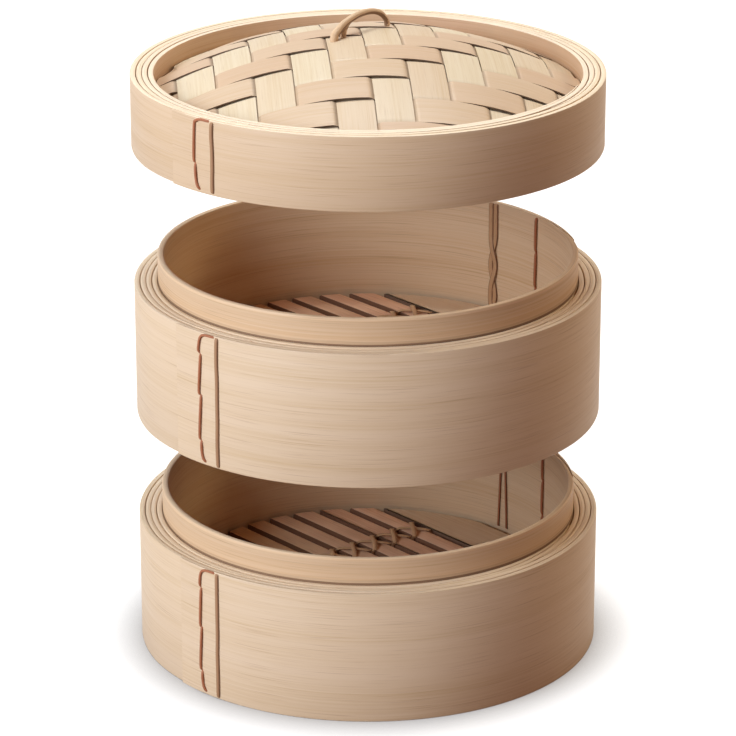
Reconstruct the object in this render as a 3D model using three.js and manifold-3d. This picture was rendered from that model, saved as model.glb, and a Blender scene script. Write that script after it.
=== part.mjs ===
// Two-tier bamboo steamer with a woven lid.
// Millimetres, +Z up, origin on the axis at the base of the lower basket.
import * as THREE from 'three';
import { mergeVertices } from 'three/addons/utils/BufferGeometryUtils.js';
import Module from 'manifold-3d';

const wasm = await Module();
wasm.setup();

// Walls: bamboo strips wound into round bands, one band inside the other.
const OUTER_DIAMETER = 200;
const BASKET_HEIGHT = 58;
const STRIP_THICKNESS = 2.1;
const STRIP_TIP = 0.5;
const TURN_GAP = 0.5;
const WRAP_TURNS = 2;
const LAP_FACETS = 7;

// The inner hoop of a basket rises over the shoulder and nests in the piece above.
const RIM_RISE = 12;
const RIM_HEADROOM = 2;
const HOOP_THICKNESS = 2.6;
const NEST_CLEARANCE = 0.4;

// Floor: slats and end planks on a ledge, tied to two battens.
const LEDGE_THICKNESS = 3;
const LEDGE_HEIGHT = 3.2;
const SLAT_WIDTH = 9;
const SLAT_GAP = 3;
const SLAT_THICKNESS = 3;
const PLANK_WIDTH = 22.2;
const PLANK_MARGIN = 2;
const FLOOR_CLEARANCE = 1.5;
const BATTEN_WIDTH = 8;
const BATTEN_THICKNESS = 3;
const BATTEN_OFFSET = 31;
const FLOOR_ANGLE = -49;

// Rattan strands.
const TIE_DIAMETER = 1;
const TIE_CLEARANCE = 0.6;
const LASHING_DIAMETER = 1.6;
const LASHING_SPACING = 9.5;
const LASHING_MARGIN = 3;
const STITCH_DIAMETER = 1.2;
const STITCH_SPACING = 6;
const STITCH_MARGIN = 3;

// A sewn loop bends over at its top: the bend's greatest share of the loop's height,
// and how far out and how far down its shoulders lie, as shares of the bend.
const LOOP_BEND_SHARE = 0.25;
const LOOP_SHOULDER_OUT = 0.7;
const LOOP_SHOULDER_DOWN = 0.3;

// Lid: a hoop carries a woven dome over a woven lining.
const LID_HOOP_HEIGHT = 5.9;
const DOME_DROP = 8.6;
const DOME_RISE = 20;
const WEAVE_THICKNESS = 1.3;
const LINING_THICKNESS = 1;
const WEAVE_GAP = 0.4;

// Handle: a loop of cane through the dome, a little behind its middle.
const CANE_DIAMETER = 3.2;
const HANDLE_SPAN = 36;
const HANDLE_RISE = 8;
const HANDLE_ANGLE = 52;
const HANDLE_ASIDE = -3;
const HANDLE_BACK = 10;
const HANDLE_TAIL = 2;

// The handle's bend between its feet: share of the span from its middle, share of the rise.
const HANDLE_BEND = [
  [-0.44, 0.45],
  [-0.3, 0.75],
  [-0.06, 0.97],
  [0.16, 1],
  [0.34, 0.85],
  [0.45, 0.55],
];

// How far the tiers are held apart at rest, over their seats.
const UPPER_LIFT = 47;
const LID_LIFT = 60;

// Air between pieces that sit on each other.
const SEAT = 0.3;

// Facets: of a full turn, of a floor piece's rounded end, of each strand's section and of the dome.
const FACETS = 48;
const ARC_FACETS = 3;
const STRAND_SIDES = 6;
const TIE_SIDES = 5;
const CANE_SIDES = 8;
const DOME_RINGS = 5;

// A strand's air to itself is looked for between stretches this many diameters apart,
// at this many places on each straight stretch.
const SELF_GAP_APART = 4;
const SELF_GAP_PLACES = 4;

// What a share or a count may fall short of a whole number by rounding.
const ROUNDING = 1e-9;

// Where the laps and their lashings lie round each tier, degrees from +X seen from above.
const LOWER_LASHING = { wall: 228, hoop: 45, stitch: 26 };
const UPPER_LASHING = { wall: 229, hoop: 50, stitch: 32 };
const LID_LASHING = { wall: 228.5 };
const OUTER_LAP_ANGLE = 255;
const INNER_LAP_ANGLE = 52.5;

// Sizes that follow from the driving ones.
const TURN_PITCH = STRIP_THICKNESS + TURN_GAP;
const WRAP_THICKNESS = TURN_PITCH * (WRAP_TURNS - 1) + STRIP_THICKNESS;
const WALL_RADIUS = OUTER_DIAMETER / 2;
const INNER_WRAP_RADIUS = WALL_RADIUS - WRAP_THICKNESS - SEAT;
const NEST_RADIUS = INNER_WRAP_RADIUS - WRAP_THICKNESS;
const HOOP_RADIUS = NEST_RADIUS - NEST_CLEARANCE;
const HOOP_INSIDE = HOOP_RADIUS - HOOP_THICKNESS;
const RECESS = RIM_RISE + RIM_HEADROOM;
const LEDGE_TOP = RECESS + LEDGE_HEIGHT;
const LEDGE_RADIUS = HOOP_INSIDE - SEAT;
const SLAT_BOTTOM = LEDGE_TOP + SEAT;
const FLOOR_TOP = SLAT_BOTTOM + SLAT_THICKNESS;
const FLOOR_RADIUS = HOOP_INSIDE - FLOOR_CLEARANCE;
const BATTEN_TOP = SLAT_BOTTOM - SEAT;
const DOME_EDGE = RECESS + LID_HOOP_HEIGHT + SEAT + LINING_THICKNESS + WEAVE_GAP + WEAVE_THICKNESS;
const LID_HEIGHT = DOME_EDGE + DOME_DROP;
const UPPER_BASE = BASKET_HEIGHT + SEAT + UPPER_LIFT;
const LID_BASE = UPPER_BASE + BASKET_HEIGHT + SEAT + LID_LIFT;

const BAMBOO = { color: 0xdcc19a, roughness: 0.55, metalness: 0 };
const HOOP_BAMBOO = { color: 0xc79d72, roughness: 0.55, metalness: 0 };
const SLAT_BAMBOO = { color: 0xa9744f, roughness: 0.6, metalness: 0 };
const PALE_BAMBOO = { color: 0xe6cfa8, roughness: 0.5, metalness: 0 };
const RATTAN = { color: 0x8a5a3a, roughness: 0.6, metalness: 0 };

// A closed surface: shared vertices merged and collapsed triangles dropped.
function closed(geometry) {
  geometry.deleteAttribute('normal');
  geometry.deleteAttribute('uv');
  const merged = mergeVertices(geometry);
  const index = merged.index.array;
  const kept = [];
  for (let i = 0; i < index.length; i += 3) {
    const corners = [index[i], index[i + 1], index[i + 2]];
    if (new Set(corners).size === 3) {
      kept.push(...corners);
    }
  }
  merged.setIndex(kept);
  merged.computeVertexNormals();
  return merged;
}

function toManifold(geometry) {
  const vertProperties = new Float32Array(geometry.attributes.position.array);
  const triVerts = new Uint32Array(geometry.index.array);
  return new wasm.Manifold(new wasm.Mesh({ numProp: 3, vertProperties, triVerts }));
}

// A surface with the given cutters taken out of it.
function cutBy(geometry, cutters) {
  let body = toManifold(geometry);
  for (const cutter of cutters) {
    body = body.subtract(toManifold(cutter));
  }
  const mesh = body.getMesh();
  const result = new THREE.BufferGeometry();
  result.setAttribute('position', new THREE.BufferAttribute(new Float32Array(mesh.vertProperties), 3));
  result.setIndex(Array.from(mesh.triVerts));
  result.computeVertexNormals();
  return result;
}

function piece(name, geometry, finish) {
  const mesh = new THREE.Mesh(geometry, new THREE.MeshStandardMaterial(finish));
  mesh.name = name;
  return mesh;
}

// A flat outline raised from one height to another.
function slab(shape, bottom, top) {
  const raised = new THREE.ExtrudeGeometry(shape, {
    depth: top - bottom,
    bevelEnabled: false,
    curveSegments: ARC_FACETS,
  });
  return closed(raised.translate(0, 0, bottom));
}

function turned(profile) {
  return closed(new THREE.LatheGeometry(profile, FACETS).rotateX(Math.PI / 2));
}

function ring(inside, outside, bottom, top) {
  const corners = [[inside, bottom], [outside, bottom], [outside, top], [inside, top], [inside, bottom]];
  return turned(corners.map(([radius, height]) => new THREE.Vector2(radius, height)));
}

// A route whose sections stand exactly on the given points.
class Route extends THREE.Curve {
  constructor(points) {
    super();
    this.points = points;
  }

  getPoint(t, target = new THREE.Vector3()) {
    const place = t * (this.points.length - 1);
    const first = Math.min(Math.floor(place + ROUNDING), this.points.length - 2);
    return target.lerpVectors(this.points[first], this.points[first + 1], place - first);
  }

  getPointAt(t, target) {
    return this.getPoint(t, target);
  }

  getTangentAt(t, target = new THREE.Vector3()) {
    const last = this.points.length - 1;
    const here = Math.round(t * last);
    const before = this.points[Math.max(here - 1, 0)];
    const after = this.points[Math.min(here + 1, last)];
    const spot = this.points[here];
    target.set(0, 0, 0);
    for (const [from, to] of [[before, spot], [spot, after]]) {
      target.add(new THREE.Vector3().subVectors(to, from).normalize());
    }
    return target.normalize();
  }
}

function strand(points, diameter, sides) {
  const section = new THREE.Shape();
  for (let side = 0; side < sides; side += 1) {
    const angle = (2 * Math.PI * side) / sides;
    const corner = new THREE.Vector2(Math.cos(angle), Math.sin(angle)).multiplyScalar(diameter / 2);
    if (side === 0) {
      section.moveTo(corner.x, corner.y);
    } else {
      section.lineTo(corner.x, corner.y);
    }
  }
  const extrudePath = new Route(points);
  return closed(new THREE.ExtrudeGeometry(section, { steps: points.length - 1, extrudePath }));
}

// The least air between stretches of a strand that lie apart along it.
function leastSelfGap(points, diameter) {
  const route = new Route(points);
  const samples = route.getPoints(SELF_GAP_PLACES * (points.length - 1));
  const along = [0];
  for (let i = 1; i < samples.length; i += 1) {
    along.push(along[i - 1] + samples[i].distanceTo(samples[i - 1]));
  }
  let least = Infinity;
  for (let i = 0; i < samples.length; i += 1) {
    for (let j = i + 1; j < samples.length; j += 1) {
      if (along[j] - along[i] > SELF_GAP_APART * diameter) {
        least = Math.min(least, samples[i].distanceTo(samples[j]) - diameter);
      }
    }
  }
  return least;
}

function polar(radius, degrees, height) {
  const angle = THREE.MathUtils.degToRad(degrees);
  return new THREE.Vector3(radius * Math.cos(angle), radius * Math.sin(angle), height);
}

// One strip wound inwards: each turn steps in by its pitch over the lap,
// and both ends are pared to a thin tip there, so the band is round inside and out.
function wrapRadii(outside) {
  const inside = outside - WRAP_THICKNESS;
  const radii = [];
  for (let facet = -LAP_FACETS; facet <= WRAP_TURNS * FACETS; facet += 1) {
    const turn = Math.floor(facet / FACETS);
    const intoLap = facet - turn * FACETS - (FACETS - LAP_FACETS);
    const face = outside - TURN_PITCH * (turn + Math.max(0, intoLap / LAP_FACETS));
    const outer = Math.min(outside, face);
    const inner = Math.max(inside, face - STRIP_THICKNESS);
    if (outer - inner >= STRIP_TIP) {
      radii.push({ facet, outer, inner });
    }
  }
  return radii;
}

function wrap(outside, lapAngle, height) {
  const radii = wrapRadii(outside);
  const place = (radius, facet) => {
    const spot = polar(radius, lapAngle + (360 * facet) / FACETS, 0);
    return new THREE.Vector2(spot.x, spot.y);
  };
  const outer = radii.map((spot) => place(spot.outer, spot.facet));
  const inner = radii.map((spot) => place(spot.inner, spot.facet));
  return slab(new THREE.Shape([...outer, ...inner.reverse()]), 0, height);
}

function wrapSelfGap(outside) {
  const radii = wrapRadii(outside);
  const outerAt = new Map(radii.map((spot) => [spot.facet, spot.outer]));
  const gaps = radii
    .filter((spot) => outerAt.has(spot.facet + FACETS))
    .map((spot) => spot.inner - outerAt.get(spot.facet + FACETS));
  return Math.min(...gaps) * Math.cos(Math.PI / FACETS);
}

// A strand that runs up one line, over and down the next, on a round face.
function loopOnWall(radius, middle, spacing, bottom, top) {
  const half = THREE.MathUtils.radToDeg(spacing / 2 / radius);
  const bend = Math.min(spacing / 2, (top - bottom) * LOOP_BEND_SHARE);
  const shoulder = half * LOOP_SHOULDER_OUT;
  const drop = bend * LOOP_SHOULDER_DOWN;
  return [
    polar(radius, middle + half, bottom),
    polar(radius, middle + half, top - bend),
    polar(radius, middle + shoulder, top - drop),
    polar(radius, middle, top),
    polar(radius, middle - shoulder, top - drop),
    polar(radius, middle - half, top - bend),
    polar(radius, middle - half, bottom),
  ];
}

function wallLashing(name, angle, height) {
  const radius = WALL_RADIUS + SEAT + LASHING_DIAMETER / 2;
  const points = loopOnWall(radius, angle, LASHING_SPACING, LASHING_MARGIN, height - LASHING_MARGIN);
  return piece(name, strand(points, LASHING_DIAMETER, STRAND_SIDES), RATTAN);
}

// The strand goes up through the gap beside a slat, slants over the slat,
// comes down through the next gap and returns under the batten.
function tieRoute(slats, side) {
  const reach = BATTEN_WIDTH / 2 + TIE_CLEARANCE + TIE_DIAMETER / 2;
  const near = side * BATTEN_OFFSET - reach;
  const far = side * BATTEN_OFFSET + reach;
  const over = FLOOR_TOP + TIE_CLEARANCE + TIE_DIAMETER / 2;
  const under = BATTEN_TOP - BATTEN_THICKNESS - TIE_CLEARANCE - TIE_DIAMETER / 2;
  const corner = TIE_DIAMETER;
  const points = [];
  for (const slat of slats) {
    const before = slat - (SLAT_WIDTH + SLAT_GAP) / 2;
    const after = slat + (SLAT_WIDTH + SLAT_GAP) / 2;
    points.push(
      new THREE.Vector3(near + corner, before, under),
      new THREE.Vector3(near, before, under + corner),
      new THREE.Vector3(near, before, over - corner / 2),
      new THREE.Vector3(near + corner, slat - SLAT_WIDTH / 2, over),
      new THREE.Vector3(far - corner, slat + SLAT_WIDTH / 2, over),
      new THREE.Vector3(far, after, over - corner / 2),
      new THREE.Vector3(far, after, under + corner),
      new THREE.Vector3(far - corner, after, under),
    );
  }
  return points;
}

// A strip of the round floor between two lines along the slats.
function floorStrip(low, high) {
  const first = Math.asin(low / FLOOR_RADIUS);
  const last = Math.asin(high / FLOOR_RADIUS);
  const shape = new THREE.Shape();
  shape.absarc(0, 0, FLOOR_RADIUS, first, last, false);
  shape.absarc(0, 0, FLOOR_RADIUS, Math.PI - last, Math.PI - first, false);
  shape.closePath();
  return slab(shape, SLAT_BOTTOM, FLOOR_TOP);
}

function floorRack(prefix) {
  const rack = new THREE.Group();
  rack.rotation.z = THREE.MathUtils.degToRad(FLOOR_ANGLE);
  const plankEnd = FLOOR_RADIUS - PLANK_MARGIN;
  const plankStart = plankEnd - PLANK_WIDTH;
  const pitch = SLAT_WIDTH + SLAT_GAP;
  const count = Math.floor((2 * (plankStart - SLAT_GAP) + SLAT_GAP) / pitch + ROUNDING);
  const slats = Array.from({ length: count }, (_, i) => (i - (count - 1) / 2) * pitch);
  slats.forEach((slat, i) => {
    const strip = floorStrip(slat - SLAT_WIDTH / 2, slat + SLAT_WIDTH / 2);
    rack.add(piece(`${prefix}_slat_${i + 1}`, strip, SLAT_BAMBOO));
  });
  rack.add(piece(`${prefix}_end_plank_front`, floorStrip(-plankEnd, -plankStart), PALE_BAMBOO));
  rack.add(piece(`${prefix}_end_plank_back`, floorStrip(plankStart, plankEnd), PALE_BAMBOO));
  const ledgeInside = LEDGE_RADIUS - LEDGE_THICKNESS - FLOOR_CLEARANCE;
  const halfLength = Math.sqrt(ledgeInside ** 2 - (BATTEN_OFFSET + BATTEN_WIDTH / 2) ** 2);
  for (const [place, side] of [['back', -1], ['front', 1]]) {
    const batten = new THREE.BoxGeometry(BATTEN_WIDTH, 2 * halfLength, BATTEN_THICKNESS);
    batten.translate(side * BATTEN_OFFSET, 0, BATTEN_TOP - BATTEN_THICKNESS / 2);
    rack.add(piece(`${prefix}_batten_${place}`, closed(batten), SLAT_BAMBOO));
    const route = tieRoute(slats, side);
    console.log(`${prefix}_tie_${place} least gap to itself`, leastSelfGap(route, TIE_DIAMETER).toFixed(2));
    rack.add(piece(`${prefix}_tie_${place}`, strand(route, TIE_DIAMETER, TIE_SIDES), RATTAN));
  }
  return rack;
}

function wallBands(prefix, height) {
  return [
    piece(`${prefix}_outer_wrap`, wrap(WALL_RADIUS, OUTER_LAP_ANGLE, height), BAMBOO),
    piece(`${prefix}_inner_wrap`, wrap(INNER_WRAP_RADIUS, INNER_LAP_ANGLE, height), BAMBOO),
  ];
}

function basket(prefix, lashing) {
  const group = new THREE.Group();
  const rimTop = BASKET_HEIGHT + RIM_RISE;
  group.add(...wallBands(prefix, BASKET_HEIGHT));
  group.add(piece(`${prefix}_inner_hoop`, ring(HOOP_INSIDE, HOOP_RADIUS, RECESS, rimTop), HOOP_BAMBOO));
  const ledge = ring(LEDGE_RADIUS - LEDGE_THICKNESS, LEDGE_RADIUS, RECESS, LEDGE_TOP);
  group.add(piece(`${prefix}_floor_ledge`, ledge, HOOP_BAMBOO));
  group.add(floorRack(prefix));
  group.add(wallLashing(`${prefix}_wall_lashing`, lashing.wall, BASKET_HEIGHT));
  const radius = HOOP_INSIDE - SEAT - STITCH_DIAMETER / 2;
  const bottom = FLOOR_TOP + STITCH_MARGIN;
  const top = rimTop - STITCH_MARGIN;
  const loop = loopOnWall(radius, lashing.hoop, STITCH_SPACING, bottom, top);
  group.add(piece(`${prefix}_hoop_lashing`, strand(loop, STITCH_DIAMETER, STRAND_SIDES), RATTAN));
  const line = [polar(radius, lashing.stitch, bottom), polar(radius, lashing.stitch, top)];
  group.add(piece(`${prefix}_hoop_stitch`, strand(line, STITCH_DIAMETER, STRAND_SIDES), RATTAN));
  return group;
}

function domeHeight(radius) {
  return DOME_EDGE + DOME_RISE * (1 - (radius / HOOP_RADIUS) ** 2);
}

// A domed sheet of even height, its upper face a set depth under the woven top's.
function domeSheet(depth, thickness) {
  const radii = Array.from({ length: DOME_RINGS + 1 }, (_, i) => (HOOP_RADIUS * i) / DOME_RINGS);
  const upper = radii.map((radius) => new THREE.Vector2(radius, domeHeight(radius) - depth));
  const lower = upper.map((spot) => new THREE.Vector2(spot.x, spot.y - thickness));
  return turned([...lower, ...upper.reverse()]);
}

// The loop leans to the back: it rises slowly from its front foot and drops steeply behind.
function handleRoute() {
  const middle = new THREE.Vector2(HANDLE_ASIDE, HANDLE_BACK);
  const angle = THREE.MathUtils.degToRad(HANDLE_ANGLE);
  const along = new THREE.Vector2(Math.cos(angle), Math.sin(angle));
  const tail = WEAVE_THICKNESS + WEAVE_GAP + LINING_THICKNESS + HANDLE_TAIL;
  const stations = [
    [-1 / 2, -tail],
    [-1 / 2, CANE_DIAMETER / 2],
    ...HANDLE_BEND.map(([share, rise]) => [share, HANDLE_RISE * rise]),
    [1 / 2, CANE_DIAMETER / 2],
    [1 / 2, -tail],
  ];
  return stations.map(([share, rise]) => {
    const spot = along.clone().multiplyScalar(share * HANDLE_SPAN).add(middle);
    return new THREE.Vector3(spot.x, spot.y, domeHeight(spot.length()) + rise);
  });
}

function lid() {
  const group = new THREE.Group();
  group.add(...wallBands('lid', LID_HEIGHT));
  const hoop = ring(HOOP_INSIDE, HOOP_RADIUS, RECESS, RECESS + LID_HOOP_HEIGHT);
  group.add(piece('lid_hoop', hoop, HOOP_BAMBOO));
  const route = handleRoute();
  const feet = [route.slice(0, 2), route.slice(-2)];
  const holes = feet.map((leg) => strand(leg, CANE_DIAMETER + 2 * SEAT, CANE_SIDES));
  const top = cutBy(domeSheet(0, WEAVE_THICKNESS), holes);
  const lining = cutBy(domeSheet(WEAVE_THICKNESS + WEAVE_GAP, LINING_THICKNESS), holes);
  group.add(piece('lid_woven_top', top, PALE_BAMBOO));
  group.add(piece('lid_woven_lining', lining, PALE_BAMBOO));
  group.add(piece('lid_handle', strand(route, CANE_DIAMETER, CANE_SIDES), RATTAN));
  group.add(wallLashing('lid_wall_lashing', LID_LASHING.wall, LID_HEIGHT));
  return group;
}

console.log('outer wrap least gap to itself', wrapSelfGap(WALL_RADIUS).toFixed(2));
console.log('inner wrap least gap to itself', wrapSelfGap(INNER_WRAP_RADIUS).toFixed(2));

const steamer = new THREE.Group();
const upperBasket = basket('upper', UPPER_LASHING);
const lidGroup = lid();
upperBasket.position.z = UPPER_BASE;
lidGroup.position.z = LID_BASE;
steamer.add(basket('lower', LOWER_LASHING), upperBasket, lidGroup);

export default steamer;
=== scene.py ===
"""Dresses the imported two-tier bamboo steamer: wound walls, tied floors, a twill lid and its cane loop."""

import logging
import math
import random
from collections.abc import Sequence
from dataclasses import dataclass, field
from enum import Enum
from itertools import pairwise

import bmesh
import bpy
from bmesh.types import BMesh, BMFace, BMVert
from mathutils import Matrix, Vector


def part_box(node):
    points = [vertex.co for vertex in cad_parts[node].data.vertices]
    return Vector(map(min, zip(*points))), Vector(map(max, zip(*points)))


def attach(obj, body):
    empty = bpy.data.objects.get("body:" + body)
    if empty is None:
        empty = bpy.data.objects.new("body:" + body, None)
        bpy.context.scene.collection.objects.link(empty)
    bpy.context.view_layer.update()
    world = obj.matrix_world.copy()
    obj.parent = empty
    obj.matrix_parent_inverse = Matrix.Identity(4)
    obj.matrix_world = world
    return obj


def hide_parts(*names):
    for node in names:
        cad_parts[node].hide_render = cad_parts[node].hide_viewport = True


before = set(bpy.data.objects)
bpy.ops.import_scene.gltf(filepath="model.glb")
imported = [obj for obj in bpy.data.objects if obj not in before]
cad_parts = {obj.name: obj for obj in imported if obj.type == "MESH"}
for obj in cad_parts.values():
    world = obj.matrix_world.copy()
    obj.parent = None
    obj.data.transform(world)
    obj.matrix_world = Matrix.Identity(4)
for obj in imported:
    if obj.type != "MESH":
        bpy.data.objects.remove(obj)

log = logging.getLogger("steamer")

MM = 0.001
FULL_TURN = 2 * math.pi

ROUND_STEPS = 144  # facets of a full turn
STRAND_SIDES = 8  # corners of a strand's section
EDGE_SEGMENTS = 2  # steps of an eased edge
HOOP_EDGE = 0.5  # radius of a plain hoop's edges, in mm
CREASE = 40.0  # degrees past which an edge stays sharp
UPWARD = 0.6  # rise of a normal past which a face looks up
ASIDE = 0.5  # share of a normal past which a face looks aside
WOOD = 9.0  # metres of wood that patterns are taken from
ALONG_PER_ACROSS = 7  # a pattern moves one part across for seven along
END_WIDTH = 0.55  # share of its width that a strand has at its ends
TAPER_STEPS = 3  # steps over which it thins


def linear(code: str) -> tuple[float, float, float, float]:
    """Turns an sRGB hex code into a linear colour.

    Args:
        code: six hex digits.

    Returns:
        Red, green, blue and alpha as the shader reads them.
    """
    parts = [int(code[i:i + 2], 16) / 255 for i in (0, 2, 4)]
    red, green, blue = [p / 12.92 if p <= 0.04045 else ((p + 0.055) / 1.055) ** 2.4 for p in parts]
    return red, green, blue, 1.0


def add_node(tree: bpy.types.NodeTree, kind: str, sockets: dict | None = None,
             **settings: object) -> bpy.types.Node:
    """Adds a shader node with its settings and links.

    Args:
        tree: the node tree that takes it.
        kind: the node's type name.
        sockets: inputs by name or number, each with its value or the output that feeds it.
        settings: properties of the node itself.

    Returns:
        The new node.
    """
    made = tree.nodes.new(kind)
    for name, value in settings.items():
        setattr(made, name, value)
    for socket, value in (sockets or {}).items():
        if isinstance(value, bpy.types.NodeSocket):
            tree.links.new(value, made.inputs[socket])
        else:
            made.inputs[socket].default_value = value
    return made


def smoothstep(share: float) -> float:
    """Eases a share from 0 to 1."""
    held = min(max(share, 0.0), 1.0)
    return held * held * (3 - 2 * held)


def polar(radius: float, degrees: float, height: float) -> Vector:
    """A point round the steamer's axis: mm and degrees from +X in, metres out."""
    angle = math.radians(degrees)
    return Vector((radius * math.cos(angle), radius * math.sin(angle), height)) * MM


class Slot(Enum):
    """The record's material slots."""

    WALL = "bamboo_wall"
    HOOP = "bamboo_hoop"
    SLAT = "bamboo_slat"
    PALE = "bamboo_pale"
    RATTAN = "rattan"


@dataclass(frozen=True)
class Layer:
    """One layer of a fibre's grain, measured against the fibre's own streaks."""

    longer: float  # times the streaks' length
    wider: float  # times the streaks' width
    detail: float  # octaves of finer grain
    low: float  # noise at which it starts to show
    high: float  # noise at which it shows in full


STREAK = Layer(1.0, 1.0, 4.0, 0.32, 0.68)
BAND = Layer(4.0, 7.0, 2.0, 0.3, 0.7)
FIBRE_END = Layer(0.28, 0.45, 2.0, 0.58, 0.72)
ROUGHNESS_SWING = 0.12  # how far the streaks move the roughness
RIB_STRENGTH = 0.5  # how strongly they stand out
WOOD_IOR = 1.5


@dataclass(frozen=True)
class Fibre:
    """A split plant fibre: long streaks of tone, short dark fibre ends and a faint ribbed relief."""

    name: str
    slot: Slot
    pale: str  # colour between the fibres, which upward faces of tier pieces keep as a painted highlight
    warm: str  # colour of the broad streaks
    deep: str  # colour of the darkest strips
    mark: str  # colour of the short fibre ends
    dark: str  # colour of the painted shade on sides, undersides and gaps
    width: float  # mm across one streak
    length: float  # mm along one streak
    marks: float = 0.45  # share of the fibre ends' colour
    roughness: float = 0.55
    relief: float = 0.06  # height of the ribs in mm
    gloss: float = 0.35  # strength of its shine

    def material(self) -> bpy.types.Material:
        """Makes the material once.

        Returns:
            The new material, or the one that is there already.
        """
        ready = bpy.data.materials.get(self.name)
        if ready:
            return ready
        made = bpy.data.materials.new(self.name)
        made.use_nodes = True
        tree = made.node_tree
        tree.nodes.clear()
        place = add_node(tree, "ShaderNodeUVMap", uv_map="grain").outputs["UV"]
        streak, spread = self.grain(tree, place, STREAK)
        drift = self.grain(tree, place, BAND)[1]
        dashes = self.grain(tree, place, FIBRE_END, self.marks)[1]
        both = add_node(tree, "ShaderNodeMath", {0: spread, 1: drift}, operation="MULTIPLY").outputs[0]
        tone = add_node(tree, "ShaderNodeAttribute", attribute_name="tone").outputs["Fac"]
        stain = add_node(tree, "ShaderNodeAttribute", attribute_name="stain").outputs["Fac"]
        colour = linear(self.pale)
        # The last mix paints shade: faces marked by the stain attribute turn to the dark colour.
        for share, code in ((both, self.warm), (tone, self.deep), (dashes, self.mark), (stain, self.dark)):
            colour = add_node(tree, "ShaderNodeMix", {"Factor": share, 6: colour, 7: linear(code)},
                              data_type="RGBA").outputs[2]
        rough = add_node(tree, "ShaderNodeMapRange", {
            "Value": streak, "To Min": self.roughness - ROUGHNESS_SWING,
            "To Max": self.roughness + ROUGHNESS_SWING})
        ribs = add_node(tree, "ShaderNodeBump", {
            "Height": streak, "Strength": RIB_STRENGTH, "Distance": self.relief * MM})
        skin = add_node(tree, "ShaderNodeBsdfPrincipled", {
            "Base Color": colour, "Roughness": rough.outputs[0], "Normal": ribs.outputs[0],
            "IOR": WOOD_IOR, "Specular IOR Level": self.gloss})
        add_node(tree, "ShaderNodeOutputMaterial", {"Surface": skin.outputs[0]})
        return made

    def grain(self, tree: bpy.types.NodeTree, place: bpy.types.NodeSocket, layer: Layer,
              most: float = 1.0) -> tuple[bpy.types.NodeSocket, bpy.types.NodeSocket]:
        """Draws noise out along the fibre.

        Args:
            tree: the material's nodes.
            place: metres along and across the fibre.
            layer: how it is drawn out and when it shows.
            most: the share with which it shows in full.

        Returns:
            The noise, and the share with which it shows.
        """
        scale = (1 / (self.length * layer.longer * MM), 1 / (self.width * layer.wider * MM), 1.0)
        drawn = add_node(tree, "ShaderNodeMapping", {"Vector": place, "Scale": scale})
        noise = add_node(tree, "ShaderNodeTexNoise", {
            "Vector": drawn.outputs[0], "Scale": 1.0, "Detail": layer.detail}).outputs[0]
        shown = add_node(tree, "ShaderNodeMapRange", {
            "Value": noise, "From Min": layer.low, "From Max": layer.high, "To Max": most}).outputs[0]
        return noise, shown


# The fibres of real bamboo and rattan lie 0.1 to 0.4 mm apart, too fine to show in the render, so the streaks
# below are drawn 0.4 to 1.2 mm wide.
# Planed bamboo of the walls: pale, dry and satin, with fine darker lines along the strip.
WALL_BAMBOO = Fibre("planed_bamboo_wall", Slot.WALL, "f2dec1", "e2caa4", "be9263", "a0764e", "7a5638",
                    width=0.9, length=110.0, marks=0.36, roughness=0.5, relief=0.12, gloss=0.3)
# Bent bamboo of the hoops: the same wood steamed and bent, a shade browner; its upward faces keep the pale
# colour as a painted highlight.
HOOP_BAMBOO = Fibre("bent_bamboo_hoop", Slot.HOOP, "f6dcb8", "e2be90", "b07a46", "9c6f46", "5c3a22",
                    width=0.9, length=160.0)
# Inner band of the lid: bamboo toned darker and more orange-brown than the walls. bamboo that years of steam
# have turned orange-brown.
INNER_BAND_BAMBOO = Fibre("orange_bamboo_band", Slot.WALL, "f2dfc4", "e0c09a", "a87443", "9a6d44", "5c3a22",
                       width=0.6, length=200.0)
# Split bamboo of the floor: matt, from pink-brown to grey-tan, with dark painted shade on the sides between
# the slats.
SLAT_BAMBOO = Fibre("split_bamboo_slat", Slot.SLAT, "facdab", "e8b48c", "e0c29a", "a87858", "542a10",
                    width=1.0, length=60.0, marks=0.5, roughness=0.7, gloss=0.02)
# Pale planks at the floor's ends: fresh-cut bamboo.
PLANK_BAMBOO = Fibre("pale_bamboo_plank", Slot.PALE, "f6dfc2", "e6c8a2", "c39c75", "b08860", "542a10",
                     width=1.2, length=70.0, marks=0.3, roughness=0.6, gloss=0.1)
# Shaved splints of the lid: cream to tan, with a low satin sheen, and painted shadow where they dive and on
# their cut sides.
SPLINT_BAMBOO = Fibre("shaved_bamboo_splint", Slot.PALE, "dccaac", "d0b891", "c49b7a", "ab855f", "4a3220",
                      width=0.8, length=60.0, marks=0.3, roughness=0.5)
# Rattan peel of the threads: thin, reddish brown.
RATTAN_PEEL = Fibre("rattan_peel_thread", Slot.RATTAN, "ae6c48", "8b5135", "6c3f29", "5e341f", "482617",
                    width=0.4, length=9.0, marks=0.6, roughness=0.5)
# Rattan bark of the flat sewing splints: a lighter brown, straight-grained.
RATTAN_BARK = Fibre("rattan_bark_splint", Slot.RATTAN, "aa805c", "8d6445", "785338", "5e3d28", "482a1a",
                    width=0.4, length=14.0, marks=0.5)
# Rattan core of the floor ties: tan and matt.
RATTAN_CORE = Fibre("rattan_core_tie", Slot.RATTAN, "dcb286", "c4956a", "a0724a", "7a5436", "5a3018",
                    width=0.4, length=12.0, marks=0.5, roughness=0.6)
# Bent cane of the handle: tan, with darker fibre marks and brown painted shade on its downward faces.
BENT_CANE = Fibre("bent_cane_handle", Slot.RATTAN, "e0c19c", "c39a6e", "94683f", "7a5230", "5c3418",
                  width=0.6, length=14.0, marks=0.6)


@dataclass(frozen=True)
class Station:
    """One section of a strand: its middle in metres, its width and thickness in mm."""

    place: Vector
    facing: Vector  # the way its broad face looks
    wide: float
    thick: float


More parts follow.
